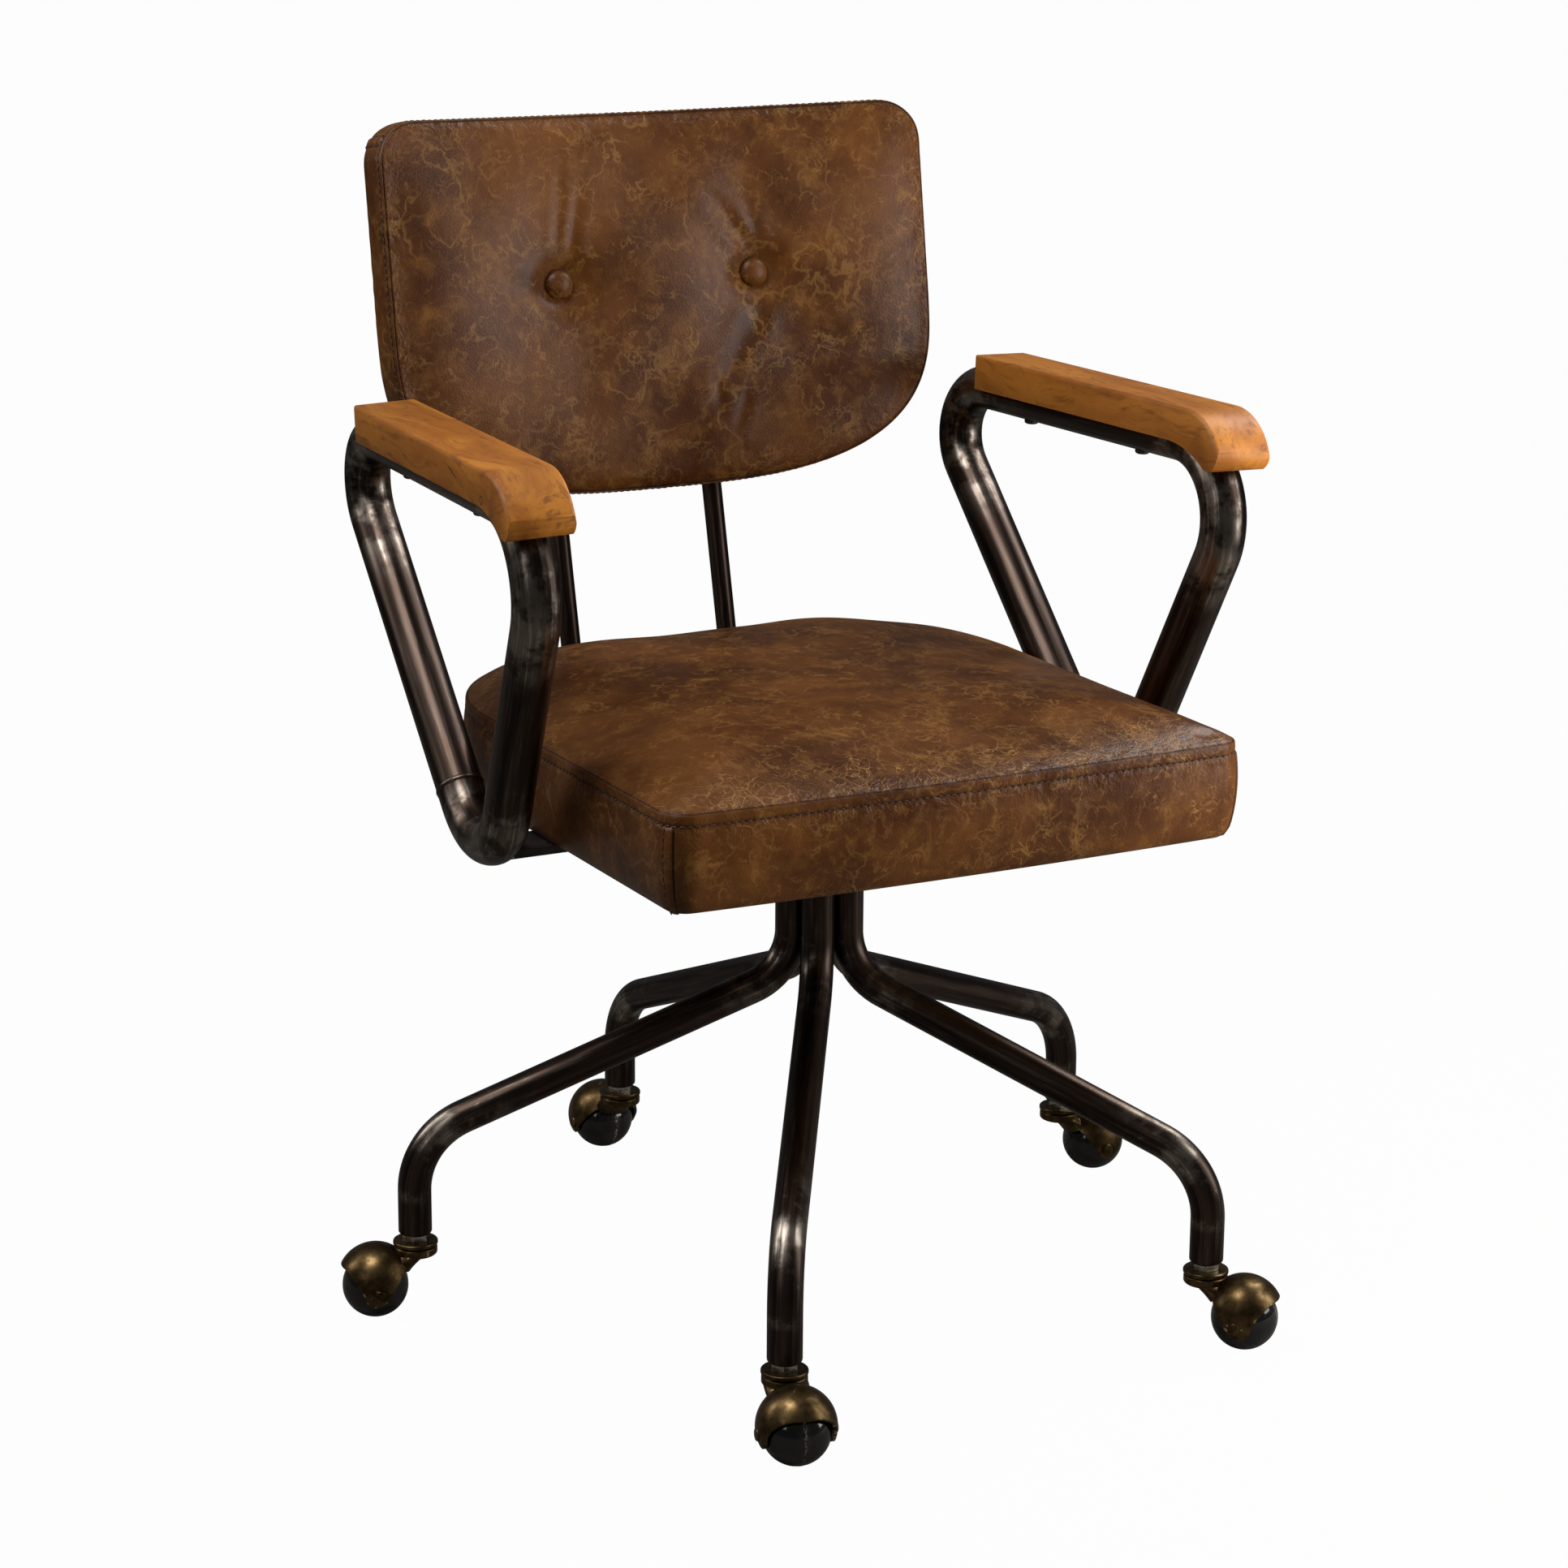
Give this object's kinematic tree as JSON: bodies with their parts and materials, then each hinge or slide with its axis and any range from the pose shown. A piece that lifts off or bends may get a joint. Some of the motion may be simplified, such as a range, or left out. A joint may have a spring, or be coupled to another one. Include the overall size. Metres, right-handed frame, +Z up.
{
  "type": "office chair",
  "caption": "Swivel desk chair with a boxed leather seat, buttoned curved back, triangular bent-tube arms with wooden pads and a splayed tube base on hooded ball casters.",
  "frame": {"origin": "on the floor, on the swivel axis", "axes": "+Z up along the swivel axis, the chair faces -Y, +X is on the viewer's right when the chair is seen from the front"},
  "size_m": [0.7063, 0.6894, 0.8726],
  "materials": {
    "tube_metal": "aged dark bronze with brushed worn highlights",
    "antique_brass": "mottled antique",
    "ball_plastic": "glossy black",
    "zinc_steel": "zinc plated",
    "insert_plastic": "matte",
    "brown_leather": "distressed, satin",
    "honey_wood": "oiled",
    "plywood": "raw",
    "dark_steel": "satin"
  },
  "bodies": {
    "base": {"base_leg_1": "tube_metal", "base_leg_2": "tube_metal", "base_leg_3": "tube_metal", "base_leg_4": "tube_metal", "base_leg_5": "tube_metal", "leg_inserts": "insert_plastic", "caster_stems": "zinc_steel", "caster_top_discs": "antique_brass", "hub_sleeve": "dark_steel", "hub_top_plate": "dark_steel", "thrust_washer": "dark_steel"},
    "lift_nut": {"lift_nut": "dark_steel"},
    "seat": {"seat_spindle": "dark_steel", "seat_plate": "dark_steel", "seat_board": "plywood", "seat_cushion": "brown_leather", "seat_plate_screws": "zinc_steel", "arm_tube_right": "tube_metal", "arm_tube_left": "tube_metal", "arm_pad_right": "honey_wood", "arm_pad_left": "honey_wood", "arm_bracket_right": "dark_steel", "arm_bracket_left": "dark_steel", "arm_pad_screws": "zinc_steel", "bracket_screws": "zinc_steel", "back_cushion": "brown_leather", "back_board": "brown_leather", "back_button_right": "brown_leather", "back_button_left": "brown_leather", "back_strut_right": "tube_metal", "back_strut_left": "tube_metal", "back_spacers": "dark_steel", "back_bolts": "zinc_steel", "strut_saddles": "dark_steel", "saddle_screws": "zinc_steel"},
    "caster_1": {"caster_hood_1": "antique_brass", "caster_axle_1": "antique_brass"},
    "wheel_1": {"caster_wheel_1": "ball_plastic"},
    "caster_2": {"caster_hood_2": "antique_brass", "caster_axle_2": "antique_brass"},
    "wheel_2": {"caster_wheel_2": "ball_plastic"},
    "caster_3": {"caster_hood_3": "antique_brass", "caster_axle_3": "antique_brass"},
    "wheel_3": {"caster_wheel_3": "ball_plastic"},
    "caster_4": {"caster_hood_4": "antique_brass", "caster_axle_4": "antique_brass"},
    "wheel_4": {"caster_wheel_4": "ball_plastic"},
    "caster_5": {"caster_hood_5": "antique_brass", "caster_axle_5": "antique_brass"},
    "wheel_5": {"caster_wheel_5": "ball_plastic"}
  },
  "joints": [
    {"name": "seat_swivel", "type": "hinge", "parent": "base", "child": "lift_nut", "pos_m": [0, 0, 0.3431], "axis": [0, 0, 1], "continuous": true},
    {"name": "seat_lift", "type": "slide", "parent": "lift_nut", "child": "seat", "axis": [0, 0, 1], "range_m": [0, 0.06]},
    {"name": "caster_swivel_1", "type": "hinge", "parent": "base", "child": "caster_1", "pos_m": [-0.16725, -0.26457, 0.055], "axis": [0, 0, 1], "continuous": true},
    {"name": "wheel_spin_1", "type": "hinge", "parent": "caster_1", "child": "wheel_1", "pos_m": [-0.1737, -0.29489, 0.025], "axis": [0.9781, -0.2079, 0], "continuous": true},
    {"name": "caster_swivel_2", "type": "hinge", "parent": "base", "child": "caster_2", "pos_m": [0.19993, -0.24082, 0.055], "axis": [0, 0, 1], "continuous": true},
    {"name": "wheel_spin_2", "type": "hinge", "parent": "caster_2", "child": "wheel_2", "pos_m": [0.21986, -0.26457, 0.025], "axis": [0.766, 0.6428, 0], "continuous": true},
    {"name": "caster_swivel_3", "type": "hinge", "parent": "base", "child": "caster_3", "pos_m": [0.29082, 0.11573, 0.055], "axis": [0, 0, 1], "continuous": true},
    {"name": "wheel_spin_3", "type": "hinge", "parent": "caster_3", "child": "wheel_3", "pos_m": [0.32165, 0.11249, 0.025], "axis": [0.1045, 0.9945, 0], "continuous": true},
    {"name": "caster_swivel_4", "type": "hinge", "parent": "base", "child": "caster_4", "pos_m": [-0.0202, 0.31235, 0.055], "axis": [0, 0, 1], "continuous": true},
    {"name": "wheel_spin_4", "type": "hinge", "parent": "caster_4", "child": "wheel_4", "pos_m": [-0.02182, 0.34331, 0.025], "axis": [-0.9986, -0.0523, 0], "continuous": true},
    {"name": "caster_swivel_5", "type": "hinge", "parent": "base", "child": "caster_5", "pos_m": [-0.3033, 0.07731, 0.055], "axis": [0, 0, 1], "continuous": true},
    {"name": "wheel_spin_5", "type": "hinge", "parent": "caster_5", "child": "wheel_5", "pos_m": [-0.33334, 0.08497, 0.025], "axis": [-0.247, -0.969, 0], "continuous": true}
  ]
}
